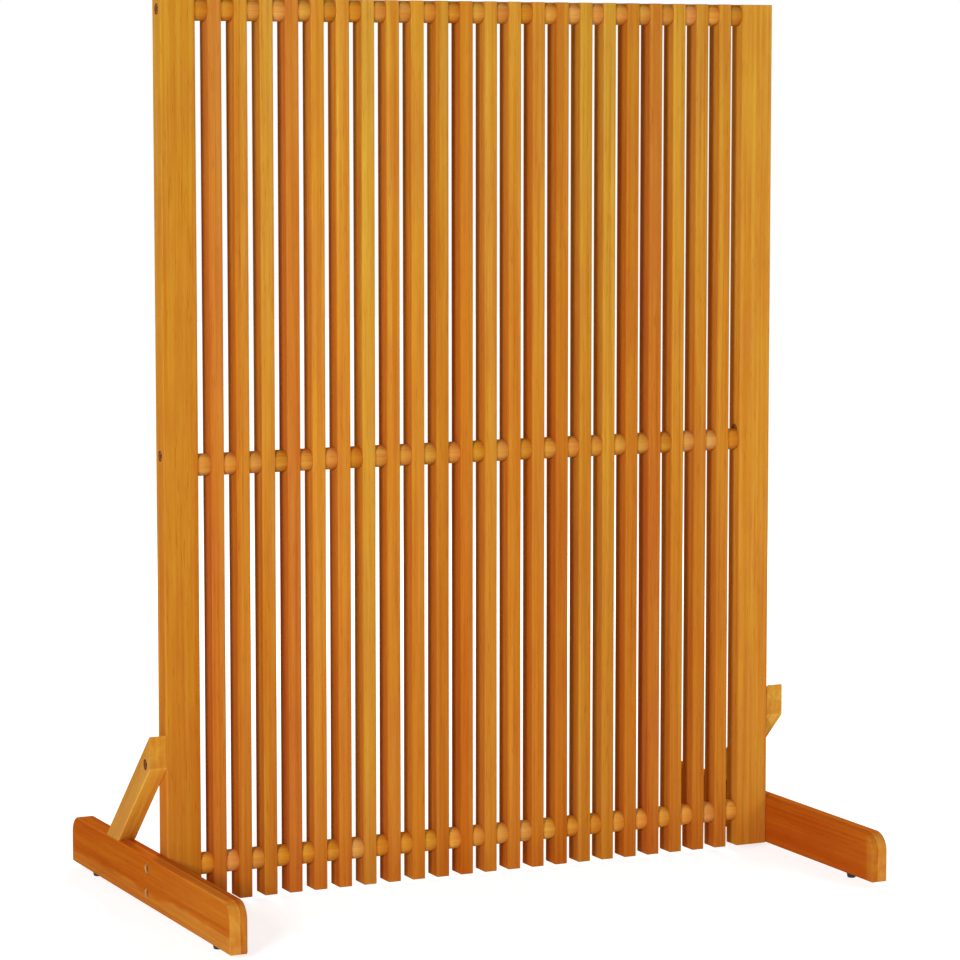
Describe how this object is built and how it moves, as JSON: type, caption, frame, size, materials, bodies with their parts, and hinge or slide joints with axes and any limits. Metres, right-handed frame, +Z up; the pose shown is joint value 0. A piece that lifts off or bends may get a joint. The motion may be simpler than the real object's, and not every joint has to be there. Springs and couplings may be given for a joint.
{
  "type": "garden privacy screen",
  "caption": "Free-standing slatted wooden garden screen: upright slats and round spacers strung between two posts on braced foot boards.",
  "frame": {"origin": "on the floor, below the middle of the screen", "axes": "+Z up, +X along the panel to the right when seen from the front, +Y from the front to the braced back"},
  "size_m": [1.2, 0.75, 1.5],
  "materials": {
    "slat_wood": "planed hardwood slats, oiled, satin",
    "spacer_wood": "turned hardwood spacers, oiled, satin",
    "post_wood": "planed hardwood posts, oiled, satin",
    "foot_wood": "planed hardwood boards, oiled, satin",
    "brace_wood": "planed hardwood boards, oiled, satin",
    "rod_steel": "drawn steel rod, zinc plated",
    "bolt_dark": "blackened steel bolt heads and sleeve nuts",
    "glide_black": "moulded black plastic glides"
  },
  "bodies": {
    "root": {"slat_01": "slat_wood", "slat_02": "slat_wood", "slat_03": "slat_wood", "slat_04": "slat_wood", "slat_05": "slat_wood", "slat_06": "slat_wood", "slat_07": "slat_wood", "slat_08": "slat_wood", "slat_09": "slat_wood", "slat_10": "slat_wood", "slat_11": "slat_wood", "slat_12": "slat_wood", "slat_13": "slat_wood", "slat_14": "slat_wood", "slat_15": "slat_wood", "slat_16": "slat_wood", "slat_17": "slat_wood", "slat_18": "slat_wood", "slat_19": "slat_wood", "slat_20": "slat_wood", "slat_21": "slat_wood", "slat_22": "slat_wood", "upper_spacers": "spacer_wood", "middle_spacers": "spacer_wood", "lower_spacers": "spacer_wood", "post_left": "post_wood", "post_right": "post_wood", "foot_left": "foot_wood", "foot_right": "foot_wood", "brace_left": "brace_wood", "brace_right": "brace_wood", "upper_tie_rod": "rod_steel", "middle_tie_rod": "rod_steel", "lower_tie_rod": "rod_steel", "upper_rod_nuts": "bolt_dark", "lower_rod_nuts": "bolt_dark", "post_bolts": "bolt_dark", "foot_bolts": "bolt_dark", "brace_screws": "bolt_dark", "brace_heel_screws": "bolt_dark", "glide_front_left": "glide_black", "glide_front_right": "glide_black", "glide_rear_left": "glide_black", "glide_rear_right": "glide_black", "glide_pins": "rod_steel"}
  },
  "joints": []
}
